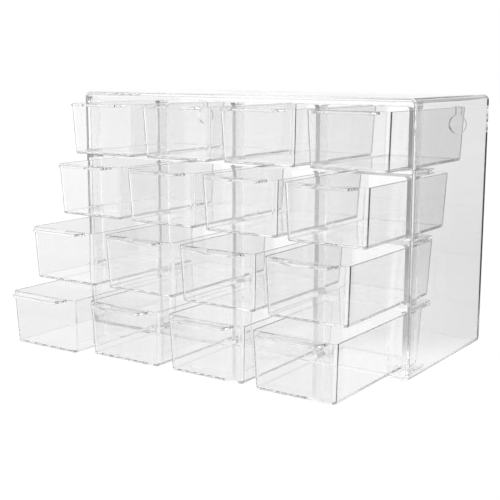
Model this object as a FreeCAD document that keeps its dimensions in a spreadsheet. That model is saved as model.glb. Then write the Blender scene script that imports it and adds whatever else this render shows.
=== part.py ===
"""Clear drawer cabinet: a moulded case, a front frame of sixteen cells and sixteen open drawers.

X runs across the front, Y from front to back and Z up, and the origin is the centre of the case's
underside. Row 1 is the top row and column 1 the left one, seen from the front. Sizes are in
millimetres. The case and the frame share one local origin at the foot of the case's front, and each
drawer has its own under the middle of its front rim.
"""
import FreeCAD, Part

import math
import os

import Sketcher

COLUMNS = 4
ROWS = 4

# Driving sizes: name, value, meaning.
SIZES = (
    ("rim_width", 73.4, "drawer across its rim"),
    ("rim_length", 141.2, "drawer front to back along its rim"),
    ("drawer_height", 46.0, "drawer foot to rim"),
    ("drawer_wall", 1.8, "drawer wall and floor"),
    ("wall_lean", 2.0, "how far each drawer wall leans out from foot to rim"),
    ("drawer_corner", 4.0, "outer radius of the drawer's four upright corners"),
    ("foot_bevel", 1.6, "height of the bevel round the drawer's foot"),
    ("tab_reach", 12.0, "pull tab, how far it stands out of the front"),
    ("tab_root_width", 57.0, "pull tab where it leaves the front"),
    ("tab_tip_width", 50.0, "pull tab along its outer edge"),
    ("tab_thickness", 2.2, "pull tab, top to underside"),
    ("tab_corner", 2.5, "pull tab's corner radius"),
    ("side_gap", 2.7, "drawer rim to each side of its cell"),
    ("top_gap", 3.2, "drawer rim to the top of its cell"),
    ("glide_gap", 0.3, "drawer foot to the shelf under it"),
    ("rear_gap", 4.4, "shut drawer to the back wall"),
    ("post_width", 4.0, "frame upright between two columns"),
    ("shelf_thickness", 4.2, "frame shelf between two rows"),
    ("border", 3.4, "frame border round the cells"),
    ("frame_depth", 12.5, "border and posts, front to back"),
    ("shelf_depth", 38.0, "shelves, front to back"),
    ("cell_corner", 3.0, "corner radius of a cell"),
    ("frame_gap", 0.1, "frame to case, all round"),
    ("case_wall", 3.0, "case, each of its five walls"),
    ("case_corner", 5.0, "outer radius of the case's long edges"),
    ("back_bevel", 1.8, "bevel round the case's back"),
    ("peg_diameter", 3.0, "snap peg at the end of each shelf"),
    ("peg_gap", 0.2, "snap peg to its hole, all round"),
    ("peg_reach", 2.0, "snap peg, length beyond the frame"),
    ("peg_inset", 4.0, "snap peg's centre to the shelf's rear edge"),
    ("keyhole_head", 17.0, "hanging hole, diameter of its round part"),
    ("keyhole_slot", 5.5, "hanging hole, width of its slot"),
    ("keyhole_rise", 14.0, "hanging hole, round centre to slot's end centre"),
    ("keyhole_spacing", 279.0, "hanging holes, centre to centre"),
    ("keyhole_drop", 27.0, "case top to a hanging hole's round centre"),
)

# How far each drawer stands out of the case at rest: rows from the top, columns from the left.
REST_OUT = (
    (30, 29, 28, 27),
    (48, 50, 53, 59),
    (82, 80, 84, 86),
    (108, 100, 99, 102),
)

# Sizes that follow from the driving ones.
CELL_WIDTH = "(sizes.rim_width + 2 * sizes.side_gap)"
CELL_HEIGHT = "(sizes.drawer_height + sizes.glide_gap + sizes.top_gap)"
COLUMN_PITCH = f"({CELL_WIDTH} + sizes.post_width)"
ROW_PITCH = f"({CELL_HEIGHT} + sizes.shelf_thickness)"
FRAME_WIDTH = f"({COLUMN_PITCH} * {COLUMNS} - sizes.post_width + 2 * sizes.border)"
FRAME_HEIGHT = f"({ROW_PITCH} * {ROWS} - sizes.shelf_thickness + 2 * sizes.border)"
FRAME_FOOT = "(sizes.case_wall + sizes.frame_gap)"
CASE_WIDTH = f"({FRAME_WIDTH} + 2 * {FRAME_FOOT})"
CASE_HEIGHT = f"({FRAME_HEIGHT} + 2 * {FRAME_FOOT})"
CASE_DEPTH = "(sizes.rim_length + sizes.rear_gap + sizes.case_wall)"
LOWEST_CELL = f"({FRAME_FOOT} + sizes.border)"
LOWEST_SHELF = f"({LOWEST_CELL} + {CELL_HEIGHT})"
PEG_DEPTH = "(sizes.shelf_depth - sizes.peg_inset)"
PEG_HEIGHT = f"({LOWEST_SHELF} + sizes.shelf_thickness / 2)"

NOTHING = "0 * sizes.drawer_wall"
COMMON_SPACING = -1
TOUCH = 1e-4

doc = FreeCAD.newDocument("drawer_cabinet")


def out_name(row, column):
    """The sheet's name for how far a drawer stands out at rest."""
    return f"out_row_{row}_column_{column}"


def fill_sheet():
    """Write each driving size into its own named cell."""
    sheet = doc.addObject("Spreadsheet::Sheet", "sizes")
    rest = tuple(
        (out_name(row, column), out, "drawer out of the case at rest")
        for row, outs in enumerate(REST_OUT, start=1)
        for column, out in enumerate(outs, start=1)
    )
    for line, (name, value, meaning) in enumerate(SIZES + rest, start=1):
        sheet.set(f"A{line}", meaning)
        sheet.set(f"B{line}", str(value))
        sheet.setAlias(f"B{line}", name)
    doc.recompute()
    return sheet


sheet = fill_sheet()


def number(formula):
    """The value of a formula with the sheet as it stands."""
    return float(sheet.evalExpression(formula.replace("sizes.", "")))


def origin_feature(body, role):
    """One of the body's own origin planes or axes."""
    return next(feature for feature in body.Origin.OriginFeatures if feature.Role == role)


def add_body(label, x="0", y="0", z="0"):
    """A body whose local origin follows three formulas."""
    body = doc.addObject("PartDesign::Body", label)
    for axis, formula in zip("xyz", (x, y, z)):
        body.setExpression(f"Placement.Base.{axis}", formula)
    return body


def add_sketch(body, name, role, lift="0"):
    """A sketch on one of the body's origin planes, lifted along that plane's normal."""
    sketch = body.newObject("Sketcher::SketchObject", name)
    sketch.AttachmentSupport = (origin_feature(body, role), "")
    sketch.MapMode = "FlatFace"
    sketch.setExpression("AttachmentOffset.Base.z", lift)
    return sketch


def join(sketch, kind, *places):
    """Add a constraint that has no size."""
    sketch.addConstraint(Sketcher.Constraint(kind, *places))


def size(sketch, name, formula, kind, *places):
    """Add a named dimension that follows a formula."""
    index = sketch.addConstraint(Sketcher.Constraint(kind, *places, number(formula)))
    sketch.renameConstraint(index, name)
    sketch.setExpression(f"Constraints.{name}", formula)


def draw_line(sketch, start, end):
    points = (FreeCAD.Vector(*start, 0), FreeCAD.Vector(*end, 0))
    return sketch.addGeometry(Part.LineSegment(*points))


def draw_arc(sketch, centre, radius, start, end):
    circle = Part.Circle(FreeCAD.Vector(*centre, 0), FreeCAD.Vector(0, 0, 1), radius)
    return sketch.addGeometry(Part.ArcOfCircle(circle, math.radians(start), math.radians(end)))


def draw_rounded_rectangle(sketch, left, low, width, height, radius):
    """Four sides and four equal corner arcs, placed and sized by formulas."""
    x0, y0, r = number(left), number(low), number(radius)
    x1, y1 = x0 + number(width), y0 + number(height)
    foot = draw_line(sketch, (x0 + r, y0), (x1 - r, y0))
    arc_1 = draw_arc(sketch, (x1 - r, y0 + r), r, -90, 0)
    right = draw_line(sketch, (x1, y0 + r), (x1, y1 - r))
    arc_2 = draw_arc(sketch, (x1 - r, y1 - r), r, 0, 90)
    head = draw_line(sketch, (x1 - r, y1), (x0 + r, y1))
    arc_3 = draw_arc(sketch, (x0 + r, y1 - r), r, 90, 180)
    side = draw_line(sketch, (x0, y1 - r), (x0, y0 + r))
    arc_4 = draw_arc(sketch, (x0 + r, y0 + r), r, 180, 270)
    loop = (foot, arc_1, right, arc_2, head, arc_3, side, arc_4)
    for piece, following in zip(loop, loop[1:] + loop[:1]):
        join(sketch, "Tangent", piece, 2, following, 1)
    for level in (foot, head):
        join(sketch, "Horizontal", level)
    for upright in (right, side):
        join(sketch, "Vertical", upright)
    for arc in (arc_2, arc_3, arc_4):
        join(sketch, "Equal", arc_1, arc)
    size(sketch, "radius", radius, "Radius", arc_1)
    size(sketch, "width", width, "DistanceX", side, 1, right, 1)
    size(sketch, "height", height, "DistanceY", foot, 1, head, 1)
    size(sketch, "left", left, "DistanceX", -1, 1, side, 1)
    size(sketch, "low", low, "DistanceY", -1, 1, foot, 1)


def draw_circle(sketch, x, y, diameter):
    """A circle placed and sized by formulas."""
    centre = FreeCAD.Vector(number(x), number(y), 0)
    circle = sketch.addGeometry(Part.Circle(centre, FreeCAD.Vector(0, 0, 1), number(diameter) / 2))
    size(sketch, "diameter", diameter, "Diameter", circle)
    size(sketch, "x", x, "DistanceX", -1, 1, circle, 3)
    size(sketch, "y", y, "DistanceY", -1, 1, circle, 3)


def add_feature(body, kind, name, profile=None, **settings):
    """A PartDesign feature; settings that are text follow a formula."""
    feature = body.newObject(f"PartDesign::{kind}", name)
    if profile is not None:
        feature.Profile = profile
    for setting, value in settings.items():
        if isinstance(value, str) and "sizes." in value:
            feature.setExpression(setting, value)
        else:
            setattr(feature, setting, value)
    doc.recompute()
    return feature


def repeat(body, name, feature, first, second=None):
    """Copy a feature along one or two axes; each way is an axis, a count and a spacing formula."""
    pattern = body.newObject("PartDesign::LinearPattern", name)
    pattern.Originals = [feature]
    for suffix, way in (("", first), ("2", second)):
        if way is None:
            continue
        axis, count, spacing = way
        setattr(pattern, f"Direction{suffix}", (origin_feature(body, axis), [""]))
        setattr(pattern, f"Mode{suffix}", "Spacing")
        setattr(pattern, f"Occurrences{suffix}", count)
        setattr(pattern, f"Spacings{suffix}", [COMMON_SPACING] * (count - 1))
        pattern.setExpression(f"Offset{suffix}", spacing)
    body.Tip = pattern
    doc.recompute()
    return pattern


def mirror(body, name, features):
    """Mirror features across the body's middle, left to right."""
    mirrored = body.newObject("PartDesign::Mirrored", name)
    mirrored.Originals = features
    mirrored.MirrorPlane = (origin_feature(body, "YZ_Plane"), [""])
    body.Tip = mirrored
    doc.recompute()
    return mirrored


def edges_between(feature, axis, low, high):
    """Names of the edges that reach from one local coordinate to another, or lie wholly at one."""
    return [
        f"Edge{index}"
        for index, edge in enumerate(feature.Shape.Edges, start=1)
        if abs(getattr(edge.BoundBox, f"{axis}Min") - low) < TOUCH
        and abs(getattr(edge.BoundBox, f"{axis}Max") - high) < TOUCH
    ]


def make_case():
    """The moulded case: five walls, rounded outside, with two hanging holes and the peg holes."""
    body = add_body("case", y=f"-{CASE_DEPTH} / 2")
    inner_radius = "(sizes.case_corner - sizes.case_wall)"

    outline = add_sketch(body, "case_outline", "XZ_Plane")
    draw_rounded_rectangle(
        outline, f"-{CASE_WIDTH} / 2", NOTHING, CASE_WIDTH, CASE_HEIGHT, "sizes.case_corner"
    )
    block = add_feature(body, "Pad", "case_block", outline, Length=CASE_DEPTH, Reversed=True)

    depth = number(CASE_DEPTH)
    back_edges = (block, edges_between(block, "Y", depth, depth))
    add_feature(body, "Chamfer", "case_back_bevel", Base=back_edges, Size="sizes.back_bevel")

    inside = add_sketch(body, "case_inside", "XZ_Plane")
    draw_rounded_rectangle(
        inside,
        f"sizes.case_wall - {CASE_WIDTH} / 2",
        "sizes.case_wall",
        f"{CASE_WIDTH} - 2 * sizes.case_wall",
        f"{CASE_HEIGHT} - 2 * sizes.case_wall",
        inner_radius,
    )
    add_feature(body, "Pocket", "case_hollow", inside, Length=f"{CASE_DEPTH} - sizes.case_wall")

    keyhole = add_sketch(body, "keyhole_outline", "XZ_Plane", f"-{CASE_DEPTH}")
    draw_keyhole(keyhole)
    right_hole = add_feature(
        body, "Pocket", "right_keyhole", keyhole, Length="2 * sizes.case_wall", Reversed=True
    )
    mirror(body, "left_keyhole", [right_hole])

    peg_hole = add_sketch(body, "peg_hole_outline", "YZ_Plane")
    draw_circle(peg_hole, PEG_DEPTH, PEG_HEIGHT, "sizes.peg_diameter + 2 * sizes.peg_gap")
    drilled = add_feature(
        body, "Pocket", "peg_hole", peg_hole, Length=f"2 * {CASE_WIDTH}", SideType="Symmetric"
    )
    repeat(body, "peg_holes", drilled, ("Z_Axis", ROWS - 1, ROW_PITCH))
    return body


def draw_keyhole(sketch):
    """A round hole with a slot that rises from it and ends in a half circle."""
    x, low = number("sizes.keyhole_spacing / 2"), number(f"{CASE_HEIGHT} - sizes.keyhole_drop")
    head, slot = number("sizes.keyhole_head / 2"), number("sizes.keyhole_slot / 2")
    top = low + number("sizes.keyhole_rise")
    mouth = math.sqrt(head**2 - slot**2)
    opening = math.degrees(math.asin(slot / head))
    round_part = draw_arc(sketch, (x, low), head, 90 + opening, 450 - opening)
    right = draw_line(sketch, (x + slot, low + mouth), (x + slot, top))
    end = draw_arc(sketch, (x, top), slot, 0, 180)
    left = draw_line(sketch, (x - slot, top), (x - slot, low + mouth))
    join(sketch, "Coincident", round_part, 2, right, 1)
    join(sketch, "Tangent", right, 2, end, 1)
    join(sketch, "Tangent", end, 2, left, 1)
    join(sketch, "Coincident", left, 2, round_part, 1)
    join(sketch, "Vertical", right)
    join(sketch, "Vertical", left)
    join(sketch, "Vertical", round_part, 3, end, 3)
    size(sketch, "head", "sizes.keyhole_head / 2", "Radius", round_part)
    size(sketch, "slot", "sizes.keyhole_slot / 2", "Radius", end)
    size(sketch, "rise", "sizes.keyhole_rise", "DistanceY", round_part, 3, end, 3)
    size(sketch, "x", "sizes.keyhole_spacing / 2", "DistanceX", -1, 1, round_part, 3)
    size(sketch, "y", f"{CASE_HEIGHT} - sizes.keyhole_drop", "DistanceY", -1, 1, round_part, 3)


def make_frame():
    """The front frame: a border and posts with sixteen rounded cells, and shelves that reach back."""
    body = add_body("front_frame", y=f"-{CASE_DEPTH} / 2")
    corner_radius = "(sizes.case_corner - sizes.case_wall - sizes.frame_gap)"
    left = f"-{FRAME_WIDTH} / 2"

    outline = add_sketch(body, "frame_outline", "XZ_Plane")
    draw_rounded_rectangle(outline, left, FRAME_FOOT, FRAME_WIDTH, FRAME_HEIGHT, corner_radius)
    add_feature(body, "Pad", "frame_block", outline, Length="sizes.frame_depth", Reversed=True)

    cell = add_sketch(body, "cell_outline", "XZ_Plane")
    draw_rounded_rectangle(
        cell, f"{left} + sizes.border", LOWEST_CELL, CELL_WIDTH, CELL_HEIGHT, "sizes.cell_corner"
    )
    first_cell = add_feature(body, "Pocket", "first_cell", cell, Length="2 * sizes.frame_depth")
    repeat(body, "cells", first_cell, ("X_Axis", COLUMNS, COLUMN_PITCH), ("Z_Axis", ROWS, ROW_PITCH))

    shelf = add_sketch(body, "shelf_outline", "XZ_Plane")
    draw_rectangle(shelf, left, LOWEST_SHELF, FRAME_WIDTH, "sizes.shelf_thickness")
    first_shelf = add_feature(body, "Pad", "first_shelf", shelf, Length="sizes.shelf_depth", Reversed=True)
    repeat(body, "shelves", first_shelf, ("Z_Axis", ROWS - 1, ROW_PITCH))

    ledge = add_sketch(body, "ledge_outline", "XZ_Plane")
    draw_rectangle(
        ledge, f"{left} + sizes.border", FRAME_FOOT, f"{FRAME_WIDTH} - 2 * sizes.border", "sizes.border"
    )
    add_feature(body, "Pad", "ledge", ledge, Length="sizes.shelf_depth", Reversed=True)

    peg = add_sketch(body, "peg_outline", "YZ_Plane")
    draw_circle(peg, PEG_DEPTH, PEG_HEIGHT, "sizes.peg_diameter")
    across = f"{FRAME_WIDTH} + 2 * sizes.peg_reach"
    peg_pair = add_feature(body, "Pad", "peg_pair", peg, Length=across, SideType="Symmetric")
    repeat(body, "peg_pairs", peg_pair, ("Z_Axis", ROWS - 1, ROW_PITCH))
    return body


def draw_rectangle(sketch, left, low, width, height):
    """Four square-cornered sides, placed and sized by formulas."""
    x0, y0 = number(left), number(low)
    x1, y1 = x0 + number(width), y0 + number(height)
    foot = draw_line(sketch, (x0, y0), (x1, y0))
    right = draw_line(sketch, (x1, y0), (x1, y1))
    head = draw_line(sketch, (x1, y1), (x0, y1))
    side = draw_line(sketch, (x0, y1), (x0, y0))
    loop = (foot, right, head, side)
    for piece, following in zip(loop, loop[1:] + loop[:1]):
        join(sketch, "Coincident", piece, 2, following, 1)
    for level in (foot, head):
        join(sketch, "Horizontal", level)
    for upright in (right, side):
        join(sketch, "Vertical", upright)
    size(sketch, "width", width, "DistanceX", foot, 1, foot, 2)
    size(sketch, "height", height, "DistanceY", right, 1, right, 2)
    size(sketch, "left", left, "DistanceX", -1, 1, foot, 1)
    size(sketch, "low", low, "DistanceY", -1, 1, foot, 1)


def add_wedge(body, kind, name, inset, low, high):
    """A block or cavity whose four walls lean like the drawer's, between two heights.

    inset is how far its walls lie inside the drawer's outer faces.
    """
    wedge = body.newObject(f"PartDesign::{kind}Wedge", name)
    wedge.AttachmentSupport = (origin_feature(body, "XZ_Plane"), "")
    wedge.MapMode = "FlatFace"
    for suffix, height_name, height in (("", "Ymin", low), ("2", "Ymax", high)):
        lean = f"sizes.wall_lean * (1 - {height} / sizes.drawer_height)"
        half_width = f"(sizes.rim_width / 2 - {inset} - {lean})"
        wedge.setExpression(f"X{suffix}min", f"-{half_width}")
        wedge.setExpression(f"X{suffix}max", half_width)
        wedge.setExpression(f"Z{suffix}min", f"{inset} + {lean} - sizes.rim_length")
        wedge.setExpression(f"Z{suffix}max", f"-{inset} - {lean}")
        wedge.setExpression(height_name, height)
    doc.recompute()
    return wedge


def make_drawer(row, column):
    """An open drawer with leaning walls and a pull tab level with its rim."""
    body = add_body(
        f"drawer_row_{row}_column_{column}",
        x=f"({column} - ({COLUMNS} + 1) / 2) * {COLUMN_PITCH}",
        y=f"-{CASE_DEPTH} / 2 - sizes.{out_name(row, column)}",
        z=f"{LOWEST_CELL} + ({ROWS} - {row}) * {ROW_PITCH} + sizes.glide_gap",
    )
    rim = number("sizes.drawer_height")
    floor = number("sizes.drawer_wall")
    tab_tip = -number("sizes.tab_reach")
    tab_foot = rim - number("sizes.tab_thickness")

    block = add_wedge(body, "Additive", "drawer_block", NOTHING, NOTHING, "sizes.drawer_height")
    uprights = (block, edges_between(block, "Z", 0, rim))
    add_feature(body, "Fillet", "outer_corners", Base=uprights, Radius="sizes.drawer_corner")
    ends = add_sketch(body, "foot_bevel_ends", "YZ_Plane")
    draw_bevel(ends, "front", "sizes.wall_lean", 1)
    draw_bevel(ends, "rear", "sizes.rim_length - sizes.wall_lean", -1)
    sides = add_sketch(body, "foot_bevel_sides", "XZ_Plane")
    draw_bevel(sides, "left", "sizes.wall_lean - sizes.rim_width / 2", 1)
    draw_bevel(sides, "right", "sizes.rim_width / 2 - sizes.wall_lean", -1)
    for name, outline in (("bevelled_ends", ends), ("bevelled_sides", sides)):
        across = "2 * sizes.rim_length"
        add_feature(body, "Pocket", name, outline, Length=across, SideType="Symmetric")

    hollow = add_wedge(
        body, "Subtractive", "drawer_hollow", "sizes.drawer_wall", "sizes.drawer_wall", "sizes.drawer_height"
    )
    uprights = (hollow, edges_between(hollow, "Z", floor, rim))
    inner_radius = "sizes.drawer_corner - sizes.drawer_wall"
    add_feature(body, "Fillet", "inner_corners", Base=uprights, Radius=inner_radius)

    outline = add_sketch(body, "tab_outline", "XY_Plane", "sizes.drawer_height")
    draw_tab(outline)
    tab = add_feature(body, "Pad", "pull_tab", outline, Length="sizes.tab_thickness", Reversed=True)
    front_edges = edges_between(tab, "Y", tab_tip, tab_tip)
    tab_corners = [edge for edge in edges_between(tab, "Z", tab_foot, rim) if edge in front_edges]
    add_feature(body, "Fillet", "tab_corners", Base=(tab, tab_corners), Radius="sizes.tab_corner")
    return body


def draw_bevel(sketch, name, wall_foot, inward):
    """The triangle cut away under one wall; inward is 1 where the drawer lies on the plus side."""
    lean = "sizes.wall_lean * sizes.foot_bevel / sizes.drawer_height"
    sign = "+" if inward > 0 else "-"
    outer = f"{wall_foot} - {inward} * {lean}"
    inner = f"{wall_foot} {sign} sizes.foot_bevel"
    x0, x1, rise = number(outer), number(inner), number("sizes.foot_bevel")
    foot = draw_line(sketch, (x0, 0), (x1, 0))
    slope = draw_line(sketch, (x1, 0), (x0, rise))
    side = draw_line(sketch, (x0, rise), (x0, 0))
    for piece, following in ((foot, slope), (slope, side), (side, foot)):
        join(sketch, "Coincident", piece, 2, following, 1)
    join(sketch, "PointOnObject", foot, 1, -1)
    join(sketch, "Horizontal", foot)
    join(sketch, "Vertical", side)
    size(sketch, f"{name}_outer", outer, "DistanceX", -1, 1, foot, 1)
    size(sketch, f"{name}_inner", inner, "DistanceX", -1, 1, foot, 2)
    size(sketch, f"{name}_rise", "sizes.foot_bevel", "DistanceY", foot, 1, slope, 2)


def draw_tab(sketch):
    """A tapered tab that starts inside the front wall, with rounded outer corners."""
    root, tip = number("sizes.tab_root_width / 2"), number("sizes.tab_tip_width / 2")
    inside, reach = number("sizes.drawer_wall / 2"), number("sizes.tab_reach")
    back = draw_line(sketch, (root, inside), (-root, inside))
    left = draw_line(sketch, (-root, inside), (-tip, -reach))
    front = draw_line(sketch, (-tip, -reach), (tip, -reach))
    right = draw_line(sketch, (tip, -reach), (root, inside))
    loop = (back, left, front, right)
    for piece, following in zip(loop, loop[1:] + loop[:1]):
        join(sketch, "Coincident", piece, 2, following, 1)
    join(sketch, "Symmetric", back, 1, back, 2, -2)
    join(sketch, "Symmetric", front, 1, front, 2, -2)
    size(sketch, "root_width", "sizes.tab_root_width", "DistanceX", back, 2, back, 1)
    size(sketch, "tip_width", "sizes.tab_tip_width", "DistanceX", front, 1, front, 2)
    size(sketch, "root", "sizes.drawer_wall / 2", "DistanceY", -1, 1, back, 1)
    size(sketch, "reach", "sizes.tab_reach", "DistanceY", front, 1, -1, 1)


def check(body):
    """Stop if any feature failed or the body's shape is not one valid solid."""
    for feature in [body, *body.Group]:
        if {"Invalid", "Error"} & set(feature.State):
            raise RuntimeError(f"{body.Label}: {feature.Label} failed")
    if body.Shape.isNull() or not body.Shape.isValid() or len(body.Shape.Solids) != 1:
        raise RuntimeError(f"{body.Label} is not one valid solid")


bodies = [make_case(), make_frame()]
for row in range(1, ROWS + 1):
    for column in range(1, COLUMNS + 1):
        bodies.append(make_drawer(row, column))
doc.recompute()

os.makedirs("parts", exist_ok=True)
for body in bodies:
    check(body)
for body in bodies:
    body.Shape.exportStep(f"parts/{body.Label}.step")
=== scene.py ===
"""Looks of the clear drawer cabinet: moulded pieces with eased edges, clear plastic and a studio.

Shapes are written in millimetres, as in the part's source, and made in metres.
"""
import math

import bmesh
import bpy
from mathutils import Matrix, Vector


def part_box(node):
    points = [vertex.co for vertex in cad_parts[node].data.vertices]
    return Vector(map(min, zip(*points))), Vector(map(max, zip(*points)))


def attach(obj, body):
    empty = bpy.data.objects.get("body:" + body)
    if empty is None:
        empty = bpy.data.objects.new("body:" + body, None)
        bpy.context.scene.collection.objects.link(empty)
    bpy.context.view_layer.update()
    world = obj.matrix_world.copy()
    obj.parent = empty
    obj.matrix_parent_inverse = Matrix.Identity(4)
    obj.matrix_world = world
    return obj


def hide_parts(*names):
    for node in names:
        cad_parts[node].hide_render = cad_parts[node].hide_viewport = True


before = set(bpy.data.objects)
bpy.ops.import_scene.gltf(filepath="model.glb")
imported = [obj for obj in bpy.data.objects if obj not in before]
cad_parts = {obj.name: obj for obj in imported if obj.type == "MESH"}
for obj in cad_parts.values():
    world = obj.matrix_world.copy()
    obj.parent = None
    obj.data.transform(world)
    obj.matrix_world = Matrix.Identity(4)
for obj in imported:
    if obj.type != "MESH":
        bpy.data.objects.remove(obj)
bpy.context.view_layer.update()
scene = bpy.context.scene
MM = 0.001

# ---------------------------------------------------------------- camera
# Fitted to the corners of the case and the drawers in the photograph.
IMAGE = 500  # the photograph's width in pixels
FOCAL = 1008.05  # the focal length in pixels
SENSOR = 36  # the sensor's width in millimetres
CAMERA_PLACE = (0.4965, -0.7824, 0.2451)
TURN, TIP_DOWN, ROLL = 34.071, 10.190, 0.160  # degrees

camera = bpy.data.objects.new("camera", bpy.data.cameras.new("camera"))
camera.data.sensor_width = SENSOR
camera.data.sensor_fit = "HORIZONTAL"
camera.data.lens = FOCAL / IMAGE * SENSOR
camera.data.clip_end = 100
turn = Matrix.Rotation(math.radians(TURN), 4, "Z")
tip = Matrix.Rotation(math.radians(90 - TIP_DOWN), 4, "X")
roll = Matrix.Rotation(math.radians(ROLL), 4, "Z")
camera.matrix_world = Matrix.Translation(CAMERA_PLACE) @ turn @ tip @ roll
scene.collection.objects.link(camera)
scene.camera = camera

# ---------------------------------------------------------------- outlines
DRAWER_HALF_LENGTH = 70.6  # at the rim, without the tab


def rounded_box(half_u, half_v, radius, steps=7):
    """A rounded rectangle about the origin, anticlockwise."""
    points = []
    for quarter, (u, v) in enumerate(((1, 1), (-1, 1), (-1, -1), (1, -1))):
        for k in range(steps + 1):
            angle = math.pi / 2 * (quarter + k / steps)
            points.append((
                u * (half_u - radius) + radius * math.cos(angle),
                v * (half_v - radius) + radius * math.sin(angle),
            ))
    return points


def arc(radius, start, sweep, steps):
    """Points along an arc about the origin, both ends included."""
    angles = [start + sweep * k / steps for k in range(steps + 1)]
    return [(radius * math.cos(a), radius * math.sin(a)) for a in angles]


def quarter_turn(radius, steps):
    """How far a quarter round has come along and across, from (0, 0) to (radius, radius)."""
    angles = [math.pi / 2 * k / steps for k in range(steps + 1)]
    return [(radius * math.sin(a), radius * (1 - math.cos(a))) for a in angles]


# ---------------------------------------------------------------- solids
def loft(name, rings):
    """A closed skin through rings of points, flat at both ends."""
    mesh = bmesh.new()
    rows = [[mesh.verts.new(Vector(point) * MM) for point in ring] for ring in rings]
    for low, high in zip(rows, rows[1:]):
        for i in range(len(low)):
            j = (i + 1) % len(low)
            mesh.faces.new((low[i], low[j], high[j], high[i]))
    mesh.faces.new(reversed(rows[0]))
    mesh.faces.new(rows[-1])
    bmesh.ops.recalc_face_normals(mesh, faces=mesh.faces)
    data = bpy.data.meshes.new(name)
    mesh.to_mesh(data)
    mesh.free()
    piece = bpy.data.objects.new(name, data)
    scene.collection.objects.link(piece)
    return piece


def settle(piece):
    """Make what a piece's modifiers do part of its mesh."""
    bpy.context.view_layer.update()
    ready = piece.evaluated_get(bpy.context.evaluated_depsgraph_get())
    made = bpy.data.meshes.new_from_object(ready)
    piece.modifiers.clear()
    piece.data = made


def combine(base, other, operation):
    """Join another shape to a piece, or cut it away, and forget the other shape."""
    change = base.modifiers.new("combine", "BOOLEAN")
    change.operation = operation
    change.solver = "EXACT"
    change.object = other
    settle(base)
    bpy.data.objects.remove(other)


def ease_edges(piece, width, angle):
    """Round off the edges of a piece that turn by more than an angle in degrees."""
    ease = piece.modifiers.new("eased_edges", "BEVEL")
    ease.limit_method = "ANGLE"
    ease.angle_limit = math.radians(angle)
    ease.width = width * MM
    ease.segments = 2
    ease.use_clamp_overlap = True
    settle(piece)


def finish_skin(piece, material, sharp=38, flat_weight=90):
    """Give a piece its material, with smooth rounds between flats that stay flat."""
    for face in piece.data.polygons:
        face.use_smooth = True
    piece.data.set_sharp_from_angle(angle=math.radians(sharp))
    weigh = piece.modifiers.new("flats", "WEIGHTED_NORMAL")
    weigh.mode = "FACE_AREA"
    weigh.weight = flat_weight
    weigh.keep_sharp = True
    piece.data.materials.clear()
    piece.data.materials.append(material)


def make_drawer_skin():
    """The open drawer with its tab, its foot at z = 0 and its length along y about the origin."""
    half_width, height, wall, lean = 36.7, 46.0, 1.8, 2.0
    corner, least_corner = 4.0, 0.8
    foot, rim, hollow = 1.5, 0.45, 1.0  # radii, outside and inside
    profile = [(foot - a, c) for a, c in quarter_turn(foot, 5)]
    profile += [(c, height - rim + a) for a, c in quarter_turn(rim, 3)]
    profile += [(wall - c, height - rim + a) for a, c in reversed(quarter_turn(rim, 3))]
    profile += [(wall + hollow - a, wall + c) for a, c in reversed(quarter_turn(hollow, 4))]
    rings = []
    for inset, z in profile:
        back = inset + lean * (1 - z / height)
        radius = max(corner - inset, least_corner)
        outline = rounded_box(half_width - back, DRAWER_HALF_LENGTH - back, radius)
        rings.append([(x, y, z) for x, y in outline])
    skin = loft("drawer_skin", rings)

    root, tip_half, reach, thick, tab_corner, ease = 28.5, 25.0, 12.0, 2.2, 2.5, 0.5
    top = height - 0.02  # a hair below the rim, so that no two faces lie in one plane
    inside = wall / 2
    slope = math.atan2(reach + inside, root - tip_half)
    levels = [(ease - a, height - thick + c) for a, c in quarter_turn(ease, 3)]
    levels += [(c, top - ease + a) for a, c in quarter_turn(ease, 3)]
    rings = []
    for inset, z in levels:
        radius = tab_corner - inset
        y_root = -DRAWER_HALF_LENGTH + inside
        y_front = -DRAWER_HALF_LENGTH - reach + inset
        centre_x = tip_half - inset - radius * math.tan(slope / 2)
        bend = [
            (centre_x + across, y_front + radius + along_y)
            for across, along_y in arc(radius, -math.pi / 2, slope, 6)
        ]
        ring = [(root - inset, y_root, z), (inset - root, y_root, z)]
        ring += [(-x, y, z) for x, y in reversed(bend)]
        ring += [(x, y, z) for x, y in bend]
        rings.append(ring)
    combine(skin, loft("tab", rings), "UNION")
    return skin


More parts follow.
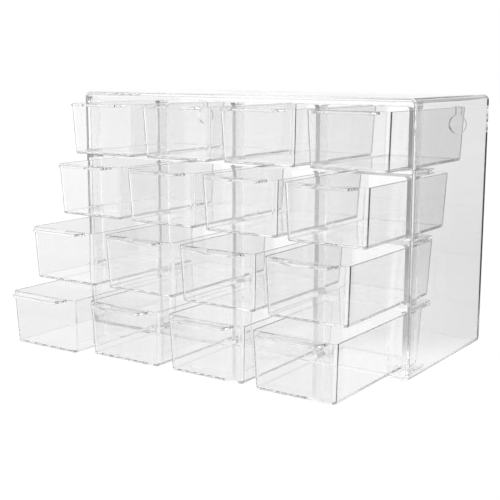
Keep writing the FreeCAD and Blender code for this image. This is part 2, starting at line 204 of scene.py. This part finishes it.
def make_case_skin():
    """The open-fronted case with keyholes in its back, standing on z = 0 about the origin."""
    half_width, height, depth, wall = 170.1, 223.6, 148.6, 3.0
    corner, least_corner = 5.0, 1.2
    back_round, lip, hollow = 1.8, 0.6, 0.8  # radii, outside and inside
    back = depth / 2
    profile = [(back_round - a, back - c) for a, c in quarter_turn(back_round, 5)]
    profile += [(c, lip - back - a) for a, c in quarter_turn(lip, 3)]
    profile += [(wall - c, lip - back - a) for a, c in reversed(quarter_turn(lip, 3))]
    profile += [(wall + hollow - a, back - wall - c) for a, c in reversed(quarter_turn(hollow, 4))]
    rings = []
    for inset, y in profile:
        radius = max(corner - inset, least_corner)
        outline = rounded_box(half_width - inset, height / 2 - inset, radius)
        rings.append([(x, y, height / 2 + z) for x, z in outline])
    skin = loft("case_skin", rings)

    head, slot, rise, drop, reach = 8.5, 2.75, 14.0, 27.0, 139.5
    opening = math.asin(slot / head)
    keyhole = arc(head, math.pi / 2 + opening, 2 * math.pi - 2 * opening, 32)
    keyhole += [(x, rise + z) for x, z in arc(slot, 0, math.pi, 12)]
    for side in (-1, 1):
        rings = [
            [(side * reach + x, y, height - drop + z) for x, z in keyhole]
            for y in (back - wall - 1, back + 1)
        ]
        combine(skin, loft("keyhole", rings), "DIFFERENCE")

    peg_hole, peg_y, past_sides = 1.7, -40.3, 180
    circle = arc(peg_hole, 0, 2 * math.pi, 24)[:-1]
    for level in (58.1, 111.8, 165.5):
        rings = [[(x, peg_y + y, level + z) for y, z in circle] for x in (-past_sides, past_sides)]
        combine(skin, loft("peg_hole", rings), "DIFFERENCE")
    return skin


def make_frame_skin():
    """The front frame's own shape, its faces made whole so that its edges can be eased."""
    same_place, same_plane = 2e-6, math.radians(1)
    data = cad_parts["front_frame"].data.copy()
    for name in ("custom_normal", "sharp_edge", "sharp_face"):
        if name in data.attributes:
            data.attributes.remove(data.attributes[name])
    mesh = bmesh.new()
    mesh.from_mesh(data)
    bmesh.ops.remove_doubles(mesh, verts=mesh.verts, dist=same_place)
    bmesh.ops.dissolve_limit(mesh, angle_limit=same_plane, verts=mesh.verts, edges=mesh.edges)
    mesh.to_mesh(data)
    mesh.free()
    piece = bpy.data.objects.new("front_frame_skin", data)
    scene.collection.objects.link(piece)
    return piece


# ---------------------------------------------------------------- node helpers
def node(tree, kind, **inputs):
    """A node with constants on the sockets of the names given, an underscore for each space."""
    made = tree.nodes.new(kind)
    for name, value in inputs.items():
        made.inputs[name.replace("_", " ")].default_value = value
    return made


def maths(tree, operation, *terms):
    """What a Math node makes of numbers and sockets."""
    made = node(tree, "ShaderNodeMath")
    made.operation = operation
    for socket, term in zip(made.inputs, terms):
        if isinstance(term, (int, float)):
            socket.default_value = term
        else:
            tree.links.new(term, socket)
    return made.outputs[0]


def product(tree, first, *others):
    """All terms multiplied."""
    for other in others:
        first = maths(tree, "MULTIPLY", first, other)
    return first


def spread(tree, source, low, high, to_low, to_high):
    """A socket's range from low to high, mapped to another and held at both ends."""
    made = tree.nodes.new("ShaderNodeMapRange")
    ends = zip(("From Min", "From Max", "To Min", "To Max"), (low, high, to_low, to_high))
    for name, value in ends:
        made.inputs[name].default_value = value
    tree.links.new(source, made.inputs["Value"])
    return made.outputs[0]


def along(tree, where, direction):
    """How far a place or a direction reaches along another direction."""
    made = tree.nodes.new("ShaderNodeVectorMath")
    made.operation = "DOT_PRODUCT"
    made.inputs[1].default_value = direction
    tree.links.new(where, made.inputs[0])
    return made.outputs["Value"]


# ---------------------------------------------------------------- studio
# Directions that stay put in the room: away from where the photograph was taken, and to its right.
BEHIND, ASIDE, UP = (-0.56, 0.83, 0.0), (0.83, 0.56, 0.0), (0, 0, 1)
# Tones of what is seen through plastic: far behind the part, close to it, and to its left; on the
# floor's glow the darker tones close to the part and to its left are painted shade.
FAR, CLOSE, PALE_LEFT = 1.0, 0.89, 0.95
# Tones of what is mirrored in plastic: to the right and on the floor near there, to the left,
# in front and overhead; in the world they are studio light, on the floor's glow they are painted
# reflections.
RIGHT, RIGHT_FOOT, LEFT, NEAR, OVERHEAD = 0.24, 0.4, 1.35, 0.8, 0.2


def lit_through(tree, pale, mirrored):
    """White where the camera sees it straight, pale through plastic, and shaded where mirrored."""
    path = tree.nodes.new("ShaderNodeLightPath")
    bounces = path.outputs["Glossy Depth"]
    depth = maths(tree, "ADD", path.outputs["Transmission Depth"], bounces)
    past = maths(tree, "MINIMUM", depth, 1)
    tone = maths(tree, "POWER", mirrored, maths(tree, "MINIMUM", bounces, 1))
    return maths(tree, "MULTIPLY", maths(tree, "POWER", pale, past), tone)


def make_world():
    """White all round. Mirrored, its left is brighter and its right, front and top are darker."""
    world = bpy.data.worlds.new("studio")
    world.use_nodes = True
    tree = world.node_tree
    tree.nodes.clear()
    glow = node(tree, "ShaderNodeBackground", Strength=1.0)
    toward = tree.nodes.new("ShaderNodeTexCoord").outputs["Generated"]
    aside = along(tree, toward, ASIDE)
    right = spread(tree, aside, 0.3, 0.75, 1.0, RIGHT)
    left = spread(tree, aside, -0.75, -0.3, LEFT, 1.0)
    near = spread(tree, along(tree, toward, BEHIND), -0.9, -0.5, NEAR, 1.0)
    above = spread(tree, along(tree, toward, UP), 0.32, 0.6, 1.0, OVERHEAD)
    shade = product(tree, right, left, near, above)
    tree.links.new(lit_through(tree, FAR, shade), glow.inputs["Color"])
    out = tree.nodes.new("ShaderNodeOutputWorld")
    tree.links.new(glow.outputs[0], out.inputs[0])
    return world


def softbox(name, place, aim, width, height, power):
    """A rectangular lamp that faces a point."""
    data = bpy.data.lights.new(name, "AREA")
    data.shape = "RECTANGLE"
    data.size = width
    data.size_y = height
    data.energy = power
    lamp = bpy.data.objects.new(name, data)
    toward = (Vector(aim) - Vector(place)).to_track_quat("-Z", "Y").to_matrix().to_4x4()
    lamp.matrix_world = Matrix.Translation(place) @ toward
    scene.collection.objects.link(lamp)


scene.world = make_world()
softbox("key", (-0.9, -0.9, 1.5), (0, 0, 0.1), 0.9, 0.9, 9)
softbox("top", (0.1, 0.3, 1.7), (0, 0, 0.1), 1.4, 1.0, 8)

# ---------------------------------------------------------------- materials
POLYSTYRENE_IOR = 1.58
CLOUDED, CLEAREST = 0.994, 1.0  # tones of the plastic itself
APART = 7.0  # keeps the marks of two pieces from being alike


def clear_plastic(name, bounce, rough, wave):
    """Clear moulded polystyrene with faint flow waves, smears and a small loss at each bounce."""
    made = bpy.data.materials.new(name)
    made.use_nodes = True
    tree = made.node_tree
    tree.nodes.clear()
    shader = tree.nodes.new("ShaderNodeBsdfPrincipled")
    shader.inputs["Transmission Weight"].default_value = 1.0
    shader.inputs["IOR"].default_value = POLYSTYRENE_IOR
    shader.inputs["Specular Tint"].default_value = (bounce, bounce, bounce, 1)
    where = tree.nodes.new("ShaderNodeTexCoord")
    each = tree.nodes.new("ShaderNodeObjectInfo")
    patch = tree.nodes.new("ShaderNodeVectorMath")
    patch.operation = "ADD"
    tree.links.new(where.outputs["Object"], patch.inputs[0])
    tree.links.new(maths(tree, "MULTIPLY", each.outputs["Random"], APART), patch.inputs[1])

    cloud = node(tree, "ShaderNodeTexNoise", Scale=14.0, Detail=2.0)
    tree.links.new(patch.outputs[0], cloud.inputs["Vector"])
    colour = tree.nodes.new("ShaderNodeValToRGB")
    for stop, place, level in zip(colour.color_ramp.elements, (0.3, 0.7), (CLOUDED, CLEAREST)):
        stop.position = place
        stop.color = (level, level, level, 1)
    tree.links.new(cloud.outputs["Fac"], colour.inputs["Fac"])
    tree.links.new(colour.outputs["Color"], shader.inputs["Base Color"])

    smear = node(tree, "ShaderNodeTexNoise", Scale=55.0, Detail=3.0, Roughness=0.6)
    tree.links.new(patch.outputs[0], smear.inputs["Vector"])
    roughness = spread(tree, smear.outputs["Fac"], 0.35, 0.7, *rough)
    tree.links.new(roughness, shader.inputs["Roughness"])

    flow = node(tree, "ShaderNodeTexNoise", Scale=18.0, Detail=2.0, Roughness=0.5)
    tree.links.new(patch.outputs[0], flow.inputs["Vector"])
    bump = node(tree, "ShaderNodeBump", Strength=wave, Distance=0.002)
    tree.links.new(flow.outputs["Fac"], bump.inputs["Height"])
    tree.links.new(bump.outputs[0], shader.inputs["Normal"])

    seen = tree.nodes.new("ShaderNodeLightPath")
    through = node(tree, "ShaderNodeBsdfTransparent", Color=(0.95, 0.95, 0.95, 1))
    mix = tree.nodes.new("ShaderNodeMixShader")
    tree.links.new(seen.outputs["Is Shadow Ray"], mix.inputs["Fac"])
    tree.links.new(shader.outputs[0], mix.inputs[1])
    tree.links.new(through.outputs[0], mix.inputs[2])
    target = tree.nodes.new("ShaderNodeOutputMaterial")
    tree.links.new(mix.outputs[0], target.inputs["Surface"])
    return made


def floor_glow_painted_shade():
    """A floor that shines by itself, so that the part throws hardly any shadow. Its glow carries
    painted reflections and painted shade where it is seen through or mirrored in plastic: darker
    close to the part, to its right and in front, and brighter to its left.
    """
    floor_glow = bpy.data.materials.new("floor_glow_painted_shade")
    floor_glow.use_nodes = True
    tree = floor_glow.node_tree
    floor_surface = tree.nodes["Principled BSDF"]
    floor_surface.inputs["Base Color"].default_value = (0.03, 0.03, 0.03, 1)
    floor_surface.inputs["Roughness"].default_value = 0.7
    floor_surface.inputs["Specular IOR Level"].default_value = 0.0
    where = tree.nodes.new("ShaderNodeTexCoord").outputs["Object"]
    aside = along(tree, where, ASIDE)
    behind = along(tree, where, BEHIND)
    # Painted reflections in the glow: mirrored in plastic, the floor is darker to the right of the
    # part, a little less so near its right foot, brighter to its left and darker in front.
    foot = spread(tree, aside, 0.35, 0.6, RIGHT_FOOT, RIGHT)
    right = maths(tree, "MAXIMUM", foot, spread(tree, aside, 0.15, 0.25, 1.0, 0.0))
    left = spread(tree, aside, -0.6, -0.25, LEFT, 1.0)
    near = spread(tree, behind, -0.9, -0.4, NEAR, 1.0)
    shade = product(tree, right, left, near)
    # Painted shade in the glow: seen through plastic, the floor is dimmer close behind the part
    # and to its left.
    pale_behind = spread(tree, behind, 0.1, 1.5, CLOSE, FAR)
    pale = product(tree, pale_behind, spread(tree, aside, -0.3, -0.1, PALE_LEFT, 1.0))
    tree.links.new(lit_through(tree, pale, shade), floor_surface.inputs["Emission Color"])
    floor_surface.inputs["Emission Strength"].default_value = 1.0
    return floor_glow


case_plastic = clear_plastic("clear_case", bounce=0.98, rough=(0.002, 0.02), wave=0.02)
frame_plastic = clear_plastic("clear_frame", bounce=0.98, rough=(0.002, 0.02), wave=0.02)
drawer_plastic = clear_plastic("clear_drawer", bounce=0.99, rough=(0.002, 0.04), wave=0.04)

# ---------------------------------------------------------------- pieces
case_skin = make_case_skin()
ease_edges(case_skin, 0.3, 55)
frame_skin = make_frame_skin()
ease_edges(frame_skin, 0.4, 40)
for skin, material, stands_for in (
    (case_skin, case_plastic, "case"),
    (frame_skin, frame_plastic, "front_frame"),
):
    finish_skin(skin, material)
    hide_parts(stands_for)
    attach(skin, "cabinet")

pattern = make_drawer_skin()
finish_skin(pattern, drawer_plastic)
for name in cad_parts:
    if not name.startswith("drawer"):
        continue
    low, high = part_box(name)
    skin = pattern.copy()
    skin.name = name + "_skin"
    skin.location = ((low.x + high.x) / 2, high.y - DRAWER_HALF_LENGTH * MM, low.z)
    scene.collection.objects.link(skin)
    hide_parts(name)
    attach(skin, name)
bpy.data.objects.remove(pattern)

# The solids that the skins stand for wear the same plastic.
for name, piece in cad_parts.items():
    finish = {"case": case_plastic, "front_frame": frame_plastic}.get(name, drawer_plastic)
    for slot in piece.material_slots:
        slot.material = finish

# ---------------------------------------------------------------- floor
FLOOR_REACH = 6.0
FLOOR_DROP = 0.0002  # keeps the floor's face off the part's underside
floor_mesh = bpy.data.meshes.new("floor")
corners = ((-1, -1), (1, -1), (1, 1), (-1, 1))
floor_corners = [(FLOOR_REACH * x, FLOOR_REACH * y, 0) for x, y in corners]
floor_mesh.from_pydata(floor_corners, [], [(0, 1, 2, 3)])
floor = bpy.data.objects.new("floor", floor_mesh)
floor.location.z = -FLOOR_DROP
scene.collection.objects.link(floor)
floor_mesh.materials.append(floor_glow_painted_shade())

# ---------------------------------------------------------------- render
# Light is guided a long way inside thin clear walls, so paths may have many bounces.
scene.view_settings.view_transform = "Standard"
scene.cycles.max_bounces = 80
scene.cycles.transmission_bounces = 48
scene.cycles.glossy_bounces = 72
scene.cycles.transparent_max_bounces = 64
scene.cycles.caustics_reflective = False
scene.cycles.caustics_refractive = False
scene.cycles.use_denoising = True
